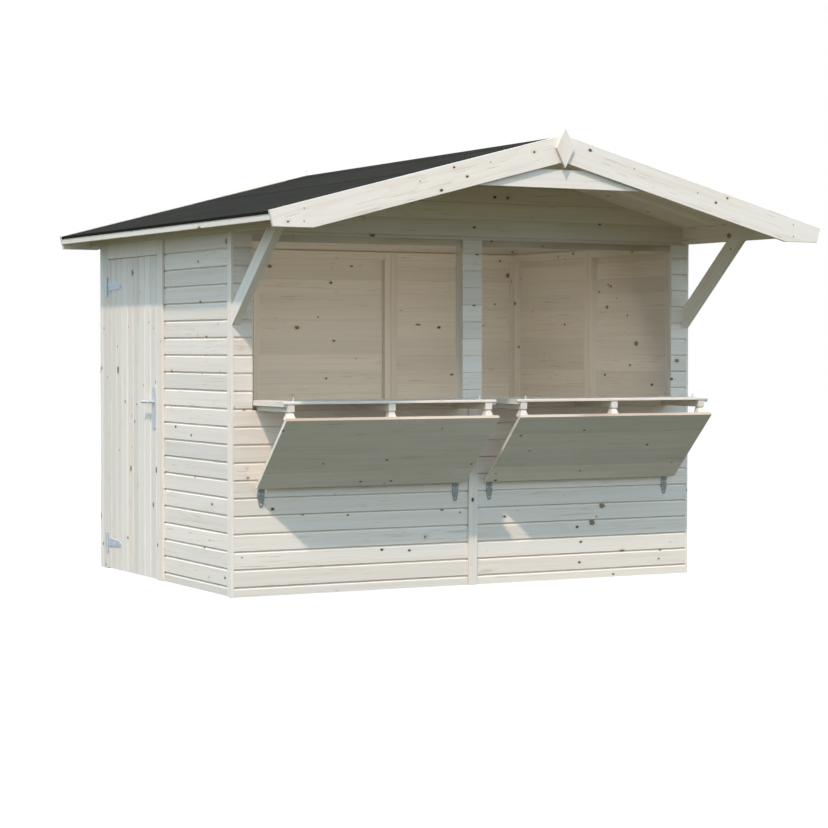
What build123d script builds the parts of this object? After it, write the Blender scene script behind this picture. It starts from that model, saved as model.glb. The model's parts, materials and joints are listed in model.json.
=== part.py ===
from build123d import *
import math
import os

# Wooden market hut: board walls on stud frames, a gabled roof with a deep front awning,
# two serving counters propped by hinged flaps, and a plank door in the left wall.
# Millimetres. X runs along the front from left to right, Y from front to back, Z up.
# The origin is on the ground, at the middle of the wall footprint.

# Footprint and wall heights
hut_width = 3000
hut_depth = 2000
wall_height = 1980
sill_height = 1013
lintel_high = 48
gable_lap = 10

# Wall build-up, from the outside in
trim_thick = 15
clad_thick = 19
stud_deep = 45

# Studs, rails and trims
stud_wide = 42
top_rail_high = 48
bottom_rail_high = 45
trim_wide = 56
pair_gap = 2
seam_gap = 1
back_panel_count = 3

# Front columns and centre post
column_wide = 125
post_wide = 125
post_lining_thick = 22

# Floor
bearer_wide = 45
bearer_high = 45
bearer_count = 5
floor_thick = 19

# Roof
roof_pitch_deg = 14.66
side_overhang = 195
front_overhang = 972
back_overhang = 195
felt_thick = 4
felt_drip = 12
eave_inset = 8
deck_thick = 18
plate_wide = 45
plate_high = 86
plate_inset = 3
purlin_wide = 45
purlin_high = 110
fascia_thick = 18
fascia_high = 25

# Barge boards, finials and the tie board behind the front barge boards
barge_thick = 20
barge_wide = 140
barge_proud = 7
barge_end_cut = 84
front_barge_reach = 25
finial_wide = 112
finial_high = 213
finial_thick = 18
finial_drop = 70
tie_high = 98
tie_drop = 177
tie_half_length = 210
tie_thick = 18

# Awning braces
brace_thick = 45
brace_wide = 85
brace_high = 506
brace_rise_deg = 41.3

# Counters
counter_thick = 14
counter_side_gap = 5
cleat_wide = 22
cleat_high = 14
cleat_front_inset = 8
arm_count = 3
arm_wide = 42
arm_high = 41
arm_front_inset = 4
arm_inset = 46
foot_waist = 7
foot_flare = 7
foot_deep = 42
foot_sink = 12
pin_radius = 6
pin_collar_high = 7
pin_neck_radius = 3
pin_head_radius = 5
pin_high = 20
pin_back = 25
pin_left_inset = 68
pin_right_inset = 95

# Hinges, all of one plate and knuckle size
hinge_plate = 3
knuckle_radius = 6
knuckle_gap = 0.4

# Flaps under the counters
flap_axis_drop = 426
flap_lean_deg = 45
flap_toe = 10
flap_length = 555
flap_thick = 20
toe_lath = 16
flap_clearance = 5
flap_hinge_wide = 39
flap_hinge_inset = 45
flap_leaf_long = 95
wall_leaf_long = 105
wall_leaf_shoulder = 58
wall_leaf_tongue = 24

# Door
door_wide = 788
door_bottom = 6
door_header_high = 87
door_thick = 19
door_gap = 5
door_front_trim_wide = 84
door_back_trim_wide = 72
jamb_clearance = 10
ledge_thick = 28
ledge_wide = 95
ledge_end_inset = 24
ledge_handle_gap = 14

# Strap hinges of the door
strap_low_inset = 157
strap_top_inset = 162
strap_long = 200
strap_root_wide = 58
strap_tip_wide = 34
jamb_leaf_high = 116
jamb_leaf_wide = 42

# Door handle
handle_height = 1037
handle_plate_below = 163
handle_plate_above = 93
handle_plate_wide = 46
handle_plate_thick = 4
handle_edge_inset = 10
handle_neck_radius = 7
handle_neck_long = 36
handle_lever_radius = 8
handle_lever_long = 112
handle_lever_round = 5

# Derived planes
half_width = hut_width / 2
clad_x = half_width - trim_thick
frame_x = clad_x - clad_thick
room_x = frame_x - stud_deep
clad_y = hut_depth / 2
frame_y = clad_y - clad_thick
room_y = frame_y - stud_deep
opening_out = half_width - column_wide
opening_in = post_wide / 2
floor_top = bearer_high + floor_thick
lintel_height = wall_height - lintel_high
gable_low = wall_height - gable_lap

# Roof planes
pitch = math.radians(roof_pitch_deg)
rise = math.tan(pitch)
deck_drop = deck_thick / math.cos(pitch)
felt_drop = felt_thick / math.cos(pitch)
roof_half = half_width + side_overhang
eave_half = roof_half - eave_inset
deck_half = eave_half - felt_thick
barge_front = -clad_y - front_overhang
barge_back = clad_y + back_overhang
roof_front = barge_front + barge_thick
roof_back = barge_back - barge_thick
plate_out = half_width - plate_inset
plate_in = plate_out - plate_wide
ridge_height = wall_height + plate_high + plate_out * rise + deck_drop + felt_drop
barge_apex = ridge_height + barge_proud

# Counter and flap sizes that follow the front opening
counter_out = opening_out - counter_side_gap
counter_in = opening_in + counter_side_gap
counter_bottom = sill_height + arm_high
flap_axis_y = -clad_y - knuckle_radius
flap_axis_height = sill_height - flap_axis_drop
flap_plate_y = (-clad_y - hinge_plate, -clad_y)
lean = math.radians(flap_lean_deg)

# Door planes
door_back_edge = clad_y - trim_wide - seam_gap - door_back_trim_wide - door_gap
door_front_edge = door_back_edge - door_wide
door_top = wall_height - door_header_high - door_gap
door_axis_x = -half_width - knuckle_radius
door_axis_y = door_back_edge + door_gap / 2
jamb_front = door_front_edge - jamb_clearance
jamb_back = door_back_edge + jamb_clearance
header_low = door_top + door_gap
strap_middles = (door_bottom + strap_low_inset, door_top - strap_top_inset)


def roof_under(x):
    """Height of the underside of the roof boards at a distance from the ridge."""
    return ridge_height - felt_drop - deck_drop - abs(x) * rise


def slab(x_range, y_range, z_range):
    """Board, post or plate between two corners."""
    ranges = (x_range, y_range, z_range)
    middle = [(low + high) / 2 for low, high in ranges]
    size = [high - low for low, high in ranges]
    return Pos(*middle) * Box(*size)


def along_y(outline, y_range):
    """Board with an outline in X and Z, seen from the front."""
    start, stop = y_range
    face = make_face(Polyline([(x, start, z) for x, z in outline], close=True))
    return extrude(face, amount=stop - start, dir=(0, 1, 0))


def along_x(outline, x_range):
    """Board with an outline in Y and Z, seen from the side."""
    start, stop = x_range
    face = make_face(Polyline([(start, y, z) for y, z in outline], close=True))
    return extrude(face, amount=stop - start, dir=(1, 0, 0))


def across(solid):
    """The same piece on the other side of the hut."""
    return mirror(solid, about=Plane.YZ)


def both(solid):
    """A piece and its twin on the other side of the hut."""
    return [solid, across(solid)]


def save(name, pieces):
    solids = [solid for piece in pieces for solid in piece.solids()]
    export_step(Compound(solids), f"parts/{name}.step")


def spread(count, low, high):
    """Middles of equal steps from one end to the other, both ends included."""
    return [low + (high - low) * step / (count - 1) for step in range(count)]


# Floor: boards on bearers that lie on the ground inside the wall frames.
def make_floor():
    middles = spread(bearer_count, -room_y + bearer_wide / 2, room_y - bearer_wide / 2)
    bearers = [
        slab((-room_x, room_x), (y - bearer_wide / 2, y + bearer_wide / 2), (0, bearer_high))
        for y in middles
    ]
    save("floor_bearers", bearers)
    save("floor_deck", [slab((-room_x, room_x), (-room_y, room_y), (bearer_high, floor_top))])


# Front wall: two low panels, a column at each corner and the post between the openings.
def make_front_wall():
    skin = (-clad_y, -frame_y)
    panel = slab((-clad_x, -seam_gap / 2), skin, (0, sill_height))
    column = slab((-clad_x, -opening_out), skin, (sill_height, gable_low))
    post = slab((-opening_in, opening_in), skin, (sill_height, gable_low))
    save("front_panels", both(panel))
    save("front_columns", both(column))
    save("front_centre_post", [post])

    frame = (-frame_y, -room_y)
    edge_stud = slab((-frame_x, -opening_out), frame, (0, wall_height))
    middle_stud = slab((-opening_in, -pair_gap / 2), frame, (0, wall_height))
    lining_run = (-room_y, post_lining_thick - room_y)
    lining = slab((-opening_in, opening_in), lining_run, (floor_top, wall_height))
    save("front_studs", both(edge_stud) + both(middle_stud) + [lining])

    bay = (-opening_out, -opening_in)
    bottom_rail = slab(bay, frame, (0, bottom_rail_high))
    sill_rail = slab(bay, frame, (sill_height - bottom_rail_high, sill_height))
    lintel_rail = slab(bay, frame, (lintel_height, wall_height))
    save("front_rails", both(bottom_rail) + both(sill_rail) + both(lintel_rail))


# Gables: boards cut to the roof, notched round the eaves plates and the ridge purlin.
def gable(low, y_range):
    notch = purlin_wide / 2
    purlin_low = roof_under(0) - purlin_high
    half = [(clad_x, low), (clad_x, wall_height)] if low < wall_height else []
    half += [
        (plate_in, wall_height),
        (plate_in, roof_under(plate_in)),
        (notch, roof_under(notch)),
        (notch, purlin_low),
    ]
    return along_y(half + [(-x, z) for x, z in reversed(half)], y_range)


def make_gables():
    save("front_gable", [gable(gable_low, (-clad_y, -frame_y))])
    save("back_gable", [gable(wall_height, (frame_y, clad_y))])


# Back wall: equal panels, each with its own edge studs, so studs stand in pairs at the seams.
def make_back_wall():
    step = 2 * clad_x / back_panel_count
    seams = [-clad_x + step * number for number in range(1, back_panel_count)]
    edges = [-clad_x] + seams + [clad_x]
    panels = []
    for left, right in zip(edges, edges[1:]):
        panels.append(slab((left + seam_gap / 2, right - seam_gap / 2), (frame_y, clad_y), (0, wall_height)))
    save("back_panels", panels)

    frame = (room_y, frame_y)
    starts = [-frame_x]
    for seam in seams:
        starts += [seam - pair_gap / 2 - stud_wide, seam + pair_gap / 2]
    starts.append(frame_x - stud_wide)
    save("back_studs", [slab((x, x + stud_wide), frame, (0, wall_height)) for x in starts])

    rails = []
    for left, right in zip(starts[0::2], starts[1::2]):
        bay = (left + stud_wide, right)
        rails.append(slab(bay, frame, (0, bottom_rail_high)))
        rails.append(slab(bay, frame, (wall_height - top_rail_high, wall_height)))
    save("back_rails", rails)


# Side walls: two panels on the right, a panel and the doorway on the left.
def make_side_walls():
    skin = (clad_x - clad_thick, clad_x)
    right_panel = slab(skin, (seam_gap / 2, frame_y), (0, wall_height))
    save("right_panels", [right_panel, mirror(right_panel, about=Plane.XZ)])

    door_skin = (-clad_x, -frame_x)
    front_part = slab(door_skin, (-frame_y, jamb_front - seam_gap), (0, wall_height))
    over_door = slab(door_skin, (jamb_front, jamb_back), (header_low, wall_height))
    back_part = slab(door_skin, (jamb_back + seam_gap, frame_y), (0, wall_height))
    save("left_panels", [front_part, over_door, back_part])

    left = (-frame_x, -room_x)
    right = (room_x, frame_x)
    full = (0, wall_height)
    corner = (room_y - stud_wide, room_y)
    middle = (pair_gap / 2, pair_gap / 2 + stud_wide)
    jamb = (jamb_front - stud_wide, jamb_front)
    right_studs = [slab(right, corner, full), slab(right, middle, full)]
    right_studs += [mirror(stud, about=Plane.XZ) for stud in right_studs]
    left_studs = [
        slab(left, (-room_y, stud_wide - room_y), full),
        slab(left, jamb, full),
        slab(left, (jamb_back, room_y), full),
    ]
    save("side_studs", left_studs + right_studs)

    low = (0, bottom_rail_high)
    high = (wall_height - top_rail_high, wall_height)
    right_bay = (pair_gap / 2 + stud_wide, room_y - stud_wide)
    left_bay = (stud_wide - room_y, jamb_front - stud_wide)
    doorway = (jamb_front, jamb_back)
    right_rails = [slab(right, right_bay, low), slab(right, right_bay, high)]
    right_rails += [mirror(rail, about=Plane.XZ) for rail in right_rails]
    left_rails = [
        slab(left, left_bay, low),
        slab(left, left_bay, high),
        slab(left, doorway, (0, floor_top)),
        slab(left, doorway, high),
    ]
    save("side_rails", left_rails + right_rails)


# Trims: corner strips that cover the ends of the front and back boards, strips over the panel seams
# and boards round the door.
def make_trims():
    full = (0, wall_height)
    corners = both(slab((clad_x, half_width), (-clad_y, trim_wide - clad_y), full))
    save("corner_trims", corners + [mirror(trim, about=Plane.XZ) for trim in corners])

    half_trim = trim_wide / 2
    front_joint = slab((-half_trim, half_trim), (-clad_y - trim_thick, -clad_y), (0, sill_height))
    right_joint = slab((clad_x, half_width), (-half_trim, half_trim), full)
    joints = [front_joint, right_joint]
    step = 2 * clad_x / back_panel_count
    for number in range(1, back_panel_count):
        seam = -clad_x + step * number
        joints.append(slab((seam - half_trim, seam + half_trim), (clad_y, clad_y + trim_thick), full))
    save("joint_trims", joints)

    skin = (-half_width, -clad_x)
    front_edge = door_front_edge - door_gap
    back_edge = door_back_edge + door_gap
    front_side = slab(skin, (front_edge - door_front_trim_wide, front_edge), full)
    back_side = slab(skin, (back_edge, clad_y - trim_wide - seam_gap), full)
    header = slab(skin, (front_edge + seam_gap, back_edge - seam_gap), (header_low, wall_height))
    save("door_trims", [front_side, back_side, header])


# Roof: eaves plates and ridge purlin carry two board slopes, each under a sheet of felt.
def make_roof():
    run = (roof_front, roof_back)
    plate = along_y(
        [
            (-plate_out, wall_height),
            (-plate_in, wall_height),
            (-plate_in, roof_under(plate_in)),
            (-plate_out, roof_under(plate_out)),
        ],
        run,
    )
    save("eaves_plates", both(plate))

    half = purlin_wide / 2
    purlin_low = roof_under(0) - purlin_high
    top = [(half, roof_under(half)), (0, roof_under(0)), (-half, roof_under(half))]
    save("ridge_purlin", [along_y([(-half, purlin_low), (half, purlin_low)] + top, run)])

    deck = along_y(
        [
            (0, roof_under(0)),
            (0, roof_under(0) + deck_drop),
            (-deck_half, roof_under(deck_half) + deck_drop),
            (-deck_half, roof_under(deck_half)),
        ],
        run,
    )
    save("roof_deck_left", [deck])
    save("roof_deck_right", [across(deck)])

    edge = roof_under(deck_half) + deck_drop
    felt = along_y(
        [
            (0, ridge_height - felt_drop),
            (0, ridge_height),
            (-eave_half, ridge_height - eave_half * rise),
            (-eave_half, edge - felt_drip),
            (-deck_half, edge - felt_drip),
            (-deck_half, edge),
        ],
        run,
    )
    save("roof_felt_left", [felt])
    save("roof_felt_right", [across(felt)])

    fascia_in = deck_half - fascia_thick
    fascia_low = roof_under(deck_half) - fascia_high
    fascia = along_y(
        [
            (-deck_half, fascia_low),
            (-fascia_in, fascia_low),
            (-fascia_in, roof_under(fascia_in)),
            (-deck_half, roof_under(deck_half)),
        ],
        run,
    )
    save("eave_fascias", both(fascia))


def barge_outline(half):
    """Left barge board: cut square at the eaves, with the lower corner taken off level."""
    depth = barge_wide / math.cos(pitch)
    tip = barge_apex - half * rise
    cut_x = half - barge_end_cut * math.sin(pitch)
    cut_z = tip - barge_end_cut * math.cos(pitch)
    nose_x = (barge_apex - depth - cut_z) / rise
    return [
        (0, barge_apex),
        (-half, tip),
        (-cut_x, cut_z),
        (-nose_x, cut_z),
        (0, barge_apex - depth),
    ]


# Barge boards: the front pair reaches a little further past the eaves than the back pair.
def make_barge_boards():
    front = along_y(barge_outline(roof_half + front_barge_reach), (barge_front, roof_front))
    back = along_y(barge_outline(roof_half), (roof_back, barge_back))
    save("barge_boards_left", [front, back])
    save("barge_boards_right", [across(front), across(back)])

    middle = barge_apex - finial_drop
    diamond = [
        (0, middle + finial_high / 2),
        (finial_wide / 2, middle),
        (0, middle - finial_high / 2),
        (-finial_wide / 2, middle),
    ]
    front_finial = along_y(diamond, (barge_front - finial_thick, barge_front))
    back_finial = along_y(diamond, (barge_back, barge_back + finial_thick))
    save("finials", [front_finial, back_finial])

    tie_top = ridge_height - tie_drop
    tie_reach = tie_half_length + tie_high / rise
    tie = [
        (-tie_half_length, tie_top),
        (-tie_reach, tie_top - tie_high),
        (tie_reach, tie_top - tie_high),
        (tie_half_length, tie_top),
    ]
    save("tie_board", [along_y(tie, (roof_front, roof_front + tie_thick))])


# Braces from the front corners up to the eaves plates under the awning.
def make_braces():
    slant = math.radians(brace_rise_deg)
    foot_low = wall_height - brace_high
    foot_top = foot_low + brace_wide / math.cos(slant)
    outline = [
        (-clad_y, foot_low),
        (-clad_y, foot_top),
        (-clad_y - (wall_height - foot_top) / math.tan(slant), wall_height),
        (-clad_y - brace_high / math.tan(slant), wall_height),
    ]
    brace = along_x(outline, (-plate_out, brace_thick - plate_out))
    save("awning_braces", both(brace))


def on_flap(along, out):
    """Point in Y and Z on the leaning flap, from its hinge axis up and from its axis outwards."""
    y = flap_axis_y - along * math.sin(lean) - out * math.cos(lean)
    z = flap_axis_height + along * math.cos(lean) - out * math.sin(lean)
    return (y, z)


def flap_outline(along_range, out_range):
    low, high = along_range
    inner, outer = out_range
    return [on_flap(low, inner), on_flap(low, outer), on_flap(high, outer), on_flap(high, inner)]


# The feet stand just behind the flap's top edge, clear of its inner face, and set the counter's reach.
flap_end = flap_toe + flap_length
foot_low = on_flap(flap_end, knuckle_radius)[1] - foot_sink
foot_out = knuckle_radius - flap_clearance
foot_along = (foot_low - flap_axis_height + foot_out * math.sin(lean)) / math.cos(lean)
arm_front = on_flap(foot_along, foot_out)[0] + foot_flare
counter_front = arm_front - arm_front_inset


def arm_middles():
    """Places of the arms under the left counter."""
    return spread(arm_count, arm_inset - counter_out, -counter_in - arm_inset)


def counter_foot(middle):
    """Foot of an arm, narrow under the arm and flared to both sides and to the front."""
    top_middle = arm_front + (foot_deep + foot_waist) / 2
    top_size = (arm_wide - 2 * foot_waist, foot_deep - foot_waist)
    top = Pos(middle, top_middle, sill_height) * Rectangle(*top_size)
    low_middle = arm_front + (foot_deep - foot_flare) / 2
    low_size = (arm_wide + 2 * foot_flare, foot_deep + foot_flare)
    low = Pos(middle, low_middle, foot_low) * Rectangle(*low_size)
    return loft([low.face(), top.face()])


def counter_pin(x):
    """Turned pin on the counter: a collar, a neck and a round head."""
    counter_top = counter_bottom + counter_thick
    neck_high = pin_high - pin_head_radius
    collar = Pos(0, 0, pin_collar_high / 2) * Cylinder(pin_radius, pin_collar_high)
    neck = Pos(0, 0, neck_high / 2) * Cylinder(pin_neck_radius, neck_high)
    head = Pos(0, 0, neck_high) * Sphere(pin_head_radius)
    return Pos(x, counter_front + pin_back, counter_top) * (collar + neck + head)


# Counters: a board with a cleat under each end, on three arms that lie on the sill and end in feet.
def make_counters():
    board = slab(
        (-counter_out, -counter_in),
        (counter_front, -room_y),
        (counter_bottom, counter_bottom + counter_thick),
    )
    save("counter_boards", both(board))

    cleats = []
    for start in (-counter_out, -counter_in - cleat_wide):
        run = (counter_front + cleat_front_inset, -room_y)
        cleats += both(slab((start, start + cleat_wide), run, (counter_bottom - cleat_high, counter_bottom)))
    save("counter_cleats", cleats)

    arms = []
    feet = []
    for middle in arm_middles():
        half = arm_wide / 2
        arms += both(
            slab((middle - half, middle + half), (arm_front, -room_y), (sill_height, counter_bottom))
        )
        feet += both(counter_foot(middle))
    save("counter_arms", arms)
    save("counter_feet", feet)

    pins = []
    for left_end in (-counter_out, counter_in):
        right_end = left_end + counter_out - counter_in
        pins += [counter_pin(left_end + pin_left_inset), counter_pin(right_end - pin_right_inset)]
    save("counter_pins", pins)


def flap_hinge_middles():
    return (flap_hinge_inset - counter_out, -counter_in - flap_hinge_inset)


def flap_knuckle(x_range):
    low, high = x_range
    place = Pos((low + high) / 2, flap_axis_y, flap_axis_height) * Rot(0, 90, 0)
    return place * Cylinder(knuckle_radius, high - low)


def wall_leaf_plate(middle):
    """Wall leaf of a flap hinge: square at the knuckle, drawn in to a round tongue at its foot."""
    half = flap_hinge_wide / 2
    half_tongue = wall_leaf_tongue / 2
    head = flap_axis_height - knuckle_radius - knuckle_gap
    shoulder = flap_axis_height - wall_leaf_shoulder
    foot = flap_axis_height - wall_leaf_long + half_tongue
    side = [(half, head), (half, shoulder), (half_tongue, foot)]
    outline = [(middle + x, z) for x, z in side] + [(middle - x, z) for x, z in reversed(side)]
    place = Pos(middle, sum(flap_plate_y) / 2, foot) * Rot(90, 0, 0)
    return along_y(outline, flap_plate_y) + place * Cylinder(half_tongue, hinge_plate)


# Flaps: one board each on two plate hinges, cut level at the toe, leaning out to the counter's feet.
# A lath behind the toe, between the hinges, closes the gap to the wall.
def make_flaps():
    face = knuckle_radius + flap_thick
    level_toe = flap_toe + flap_thick * math.tan(lean)
    outline = [
        on_flap(flap_toe, knuckle_radius),
        on_flap(level_toe, face),
        on_flap(flap_end, face),
        on_flap(flap_end, knuckle_radius),
    ]
    board = along_x(outline, (-counter_out, -counter_in))
    first, last = flap_hinge_middles()
    clear = flap_hinge_wide / 2 + flap_clearance
    lath_outline = flap_outline((flap_toe, flap_toe + toe_lath), (knuckle_radius - toe_lath, knuckle_radius))
    lath = along_x(lath_outline, (first + clear, last - clear))
    save("left_flap", [board, lath])
    save("right_flap", [across(board), across(lath)])

    plate_depth = (knuckle_radius - hinge_plate, knuckle_radius)
    root = knuckle_radius + knuckle_gap
    barrel = flap_hinge_wide / 6
    flap_leaves = []
    wall_leaves = []
    for middle in flap_hinge_middles():
        whole = (middle - flap_hinge_wide / 2, middle + flap_hinge_wide / 2)
        inner = (middle - barrel, middle + barrel)
        leaf = along_x(flap_outline((root, flap_leaf_long), plate_depth), whole)
        leaf += along_x(flap_outline((0, root), plate_depth), inner)
        flap_leaves.append(leaf + flap_knuckle(inner))

        wall_leaf = wall_leaf_plate(middle)
        for side in ((whole[0], inner[0] - knuckle_gap), (inner[1] + knuckle_gap, whole[1])):
            wall_leaf += slab(side, flap_plate_y, (flap_axis_height - root, flap_axis_height))
            wall_leaf += flap_knuckle(side)
        wall_leaves.append(wall_leaf)
    save("left_flap_hinges", flap_leaves)
    save("right_flap_hinges", [across(leaf) for leaf in flap_leaves])
    return [twin for leaf in wall_leaves for twin in both(leaf)]


def door_knuckle(z_range):
    low, high = z_range
    return Pos(door_axis_x, door_axis_y, (low + high) / 2) * Cylinder(knuckle_radius, high - low)


def door_handle(face):
    """Lever on a long plate with round ends, on the outer face of the door."""
    half = handle_plate_wide / 2
    middle = door_front_edge + handle_edge_inset + half
    low = handle_height - handle_plate_below + half
    high = handle_height + handle_plate_above - half
    outside = face - handle_plate_thick
    handle = slab((outside, face), (middle - half, middle + half), (low, high))
    for end in (low, high):
        place = Pos(face - handle_plate_thick / 2, middle, end) * Rot(0, 90, 0)
        handle += place * Cylinder(half, handle_plate_thick)

    neck_place = Pos(outside - handle_neck_long / 2, middle, handle_height) * Rot(0, 90, 0)
    handle += neck_place * Cylinder(handle_neck_radius, handle_neck_long)
    lever = Rot(90, 0, 0) * Cylinder(handle_lever_radius, handle_lever_long)
    lever = fillet(lever.edges().filter_by(GeomType.CIRCLE), handle_lever_round)
    lever_middle = middle - handle_lever_radius - handle_lever_round + handle_lever_long / 2
    return handle + Pos(outside - handle_neck_long, lever_middle, handle_height) * lever


# Door: one leaf of boards on two strap hinges, with a ledge behind each strap and one under the handle.
def make_door():
    leaf_face = -half_width
    leaf_back = leaf_face + door_thick
    save("door_leaf", [
        slab((leaf_face, leaf_back), (door_front_edge, door_back_edge), (door_bottom, door_top))
    ])
    ledge_run = (door_front_edge + ledge_end_inset, door_back_edge - ledge_end_inset)
    under_handle = handle_height - handle_plate_below - ledge_handle_gap - ledge_wide / 2
    save("door_ledges", [
        slab(
            (leaf_back, leaf_back + ledge_thick),
            ledge_run,
            (middle - ledge_wide / 2, middle + ledge_wide / 2),
        )
        for middle in (*strap_middles, under_handle)
    ])

    plate_x = (leaf_face - hinge_plate, leaf_face)
    root = knuckle_radius + knuckle_gap
    straps = []
    jamb_leaves = []
    for middle in strap_middles:
        half_root = strap_root_wide / 2
        half_tip = strap_tip_wide / 2
        outline = [
            (door_axis_y, middle - half_root),
            (door_axis_y, middle + half_root),
            (door_axis_y - strap_long, middle + half_tip),
            (door_axis_y - strap_long, middle - half_tip),
        ]
        strap = along_x(outline, plate_x) + door_knuckle((middle - half_root, middle + half_root))
        tip_place = Pos(sum(plate_x) / 2, door_axis_y - strap_long, middle) * Rot(0, 90, 0)
        straps.append(strap + tip_place * Cylinder(half_tip, hinge_plate))

        low = middle - jamb_leaf_high / 2
        high = middle + jamb_leaf_high / 2
        jamb_leaf = slab(plate_x, (door_axis_y + root, door_axis_y + jamb_leaf_wide), (low, high))
        ends = ((low, middle - half_root - knuckle_gap), (middle + half_root + knuckle_gap, high))
        for end in ends:
            jamb_leaf += slab(plate_x, (door_axis_y, door_axis_y + root), end)
            jamb_leaf += door_knuckle(end)
        jamb_leaves.append(jamb_leaf)
    save("door_straps", straps)

    outer_handle = door_handle(leaf_face)
    leaf_middle = Plane.YZ.offset(leaf_face + door_thick / 2)
    save("door_handle", [outer_handle, mirror(outer_handle, about=leaf_middle)])
    return jamb_leaves


os.makedirs("parts", exist_ok=True)
make_floor()
make_front_wall()
make_gables()
make_back_wall()
make_side_walls()
make_trims()
make_roof()
make_barge_boards()
make_braces()
make_counters()
flap_wall_leaves = make_flaps()
door_jamb_leaves = make_door()
save("wall_hinge_leaves", flap_wall_leaves + door_jamb_leaves)
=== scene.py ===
# %% [markdown]
# # A wooden market hut, dressed in Blender
#
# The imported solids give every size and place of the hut: plain wall slabs, square timbers, a roof of two
# slopes. This lesson dresses them. The slabs become boards with V joints, the timbers get eased edges,
# the roof gets its felt, and the fittings get their screws. Lengths are metres, X runs along the front,
# Y to the back and Z up.

# %% Load the solids as a fixed frame
import json
import math
import random

import bmesh
import bpy
from mathutils import Matrix, Vector


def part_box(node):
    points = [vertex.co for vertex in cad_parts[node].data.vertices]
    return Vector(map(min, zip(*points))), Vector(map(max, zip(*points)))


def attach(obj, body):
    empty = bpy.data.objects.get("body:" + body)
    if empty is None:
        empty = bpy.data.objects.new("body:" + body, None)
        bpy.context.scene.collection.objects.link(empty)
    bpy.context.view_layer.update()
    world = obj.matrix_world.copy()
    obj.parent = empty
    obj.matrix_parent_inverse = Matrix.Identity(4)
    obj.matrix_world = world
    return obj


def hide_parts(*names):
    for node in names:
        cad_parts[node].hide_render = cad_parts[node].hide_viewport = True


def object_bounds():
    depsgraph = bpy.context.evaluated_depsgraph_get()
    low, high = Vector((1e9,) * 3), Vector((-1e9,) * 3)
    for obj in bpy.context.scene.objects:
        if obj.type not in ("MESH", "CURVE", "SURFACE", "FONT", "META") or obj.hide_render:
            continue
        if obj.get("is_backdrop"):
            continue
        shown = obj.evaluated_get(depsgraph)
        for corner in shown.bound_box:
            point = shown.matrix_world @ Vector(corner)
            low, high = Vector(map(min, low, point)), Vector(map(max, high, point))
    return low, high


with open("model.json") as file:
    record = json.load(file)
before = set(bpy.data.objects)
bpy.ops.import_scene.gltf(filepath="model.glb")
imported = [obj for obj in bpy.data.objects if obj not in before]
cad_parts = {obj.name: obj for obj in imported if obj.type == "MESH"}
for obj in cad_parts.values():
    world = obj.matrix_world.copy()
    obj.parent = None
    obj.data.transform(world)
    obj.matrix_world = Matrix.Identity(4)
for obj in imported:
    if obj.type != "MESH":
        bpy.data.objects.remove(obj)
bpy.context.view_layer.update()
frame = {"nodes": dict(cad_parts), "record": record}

# %% [markdown]
# ## Camera
#
# A picture of a building has lines that meet far away, and where they meet says where the camera stood.
# Guessing by eye would leave the roof and the counters each a little off, so the numbers here come from
# fitting the hut's own corners: a long lens, low down, off the left front corner.

# %% Place the camera
view = bpy.data.cameras.new("front_left_camera")
view.sensor_width, view.lens, view.clip_end = 36.0, 97.888, 200.0
camera = bpy.data.objects.new("front_left_camera", view)
camera.location = (-6.4106, -12.1602, 1.3534)
camera.rotation_euler = [math.radians(turn) for turn in (90 - 1.678, -0.082, -28.389)]
bpy.context.scene.collection.objects.link(camera)
bpy.context.scene.camera = camera
print("camera", [round(v, 2) for v in camera.location], "lens", view.lens)

# %% [markdown]
# ## Shader maths in plain sums
#
# Every finish below is a small graph of nodes. Placing nodes one by one hides the idea, so one class wraps
# a socket: adding or multiplying two of them adds the Math node, and `node` makes any other node from
# its type, its settings and its inputs.

# %% Wrap a shader socket
class Wire:
    """An output socket in a node tree, usable in sums."""

    def __init__(self, tree, socket=None):
        self.tree, self.socket = tree, socket

    def node(self, kind, settings=None, inputs=None, out=0):
        made = self.tree.nodes.new("ShaderNode" + kind)
        for key, value in (settings or {}).items():
            setattr(made, key, value)
        for key, value in (inputs or {}).items():
            if isinstance(value, Wire):
                self.tree.links.new(value.socket, made.inputs[key])
            else:
                made.inputs[key].default_value = value
        return Wire(self.tree, made.outputs[out] if made.outputs else None)

    def also(self, out):
        return Wire(self.tree, self.socket.node.outputs[out])

    def maths(self, operation, *others):
        return self.node("Math", {"operation": operation}, dict(enumerate((self, *others))))

    def __add__(self, other):
        return self.maths("ADD", other)

    def __mul__(self, other):
        return self.maths("MULTIPLY", other)

    def __sub__(self, other):
        return self.maths("SUBTRACT", other)

    def __truediv__(self, other):
        return self.maths("DIVIDE", other)

    def __rsub__(self, other):
        return self * -1.0 + other

    def __rtruediv__(self, other):
        return self.maths("POWER", -1.0) * other

    __radd__, __rmul__ = __add__, __mul__

    def between(self, start, stop):
        """0 at start, 1 at stop, eased between them."""
        limits = {"Value": self, "From Min": start, "From Max": stop}
        return self.node("MapRange", {"interpolation_type": "SMOOTHSTEP"}, limits)

    def mix(self, under, over):
        """Colour that goes from under to over as this value goes from 0 to 1."""
        return self.node("Mix", {"data_type": "RGBA"}, {0: self, 6: under, 7: over}, out=2)

    def vector(self, operation, other, out=0):
        return self.node("VectorMath", {"operation": operation}, {0: self, 1: other}, out=out)

    def noise(self, stretch, detail=2.0):
        """Noise on this vector, stretched by three scales."""
        stretched = self.vector("MULTIPLY", stretch)
        return self.node("TexNoise", None, {"Vector": stretched, "Scale": 1.0, "Detail": detail})


def new_finish(name):
    material = bpy.data.materials.new(name)
    material.use_nodes = True
    material.node_tree.nodes.clear()
    return material, Wire(material.node_tree)


def lay_on(pen, sockets):
    pen.node("OutputMaterial", None, {"Surface": pen.node("BsdfPrincipled", None, sockets)})


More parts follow.
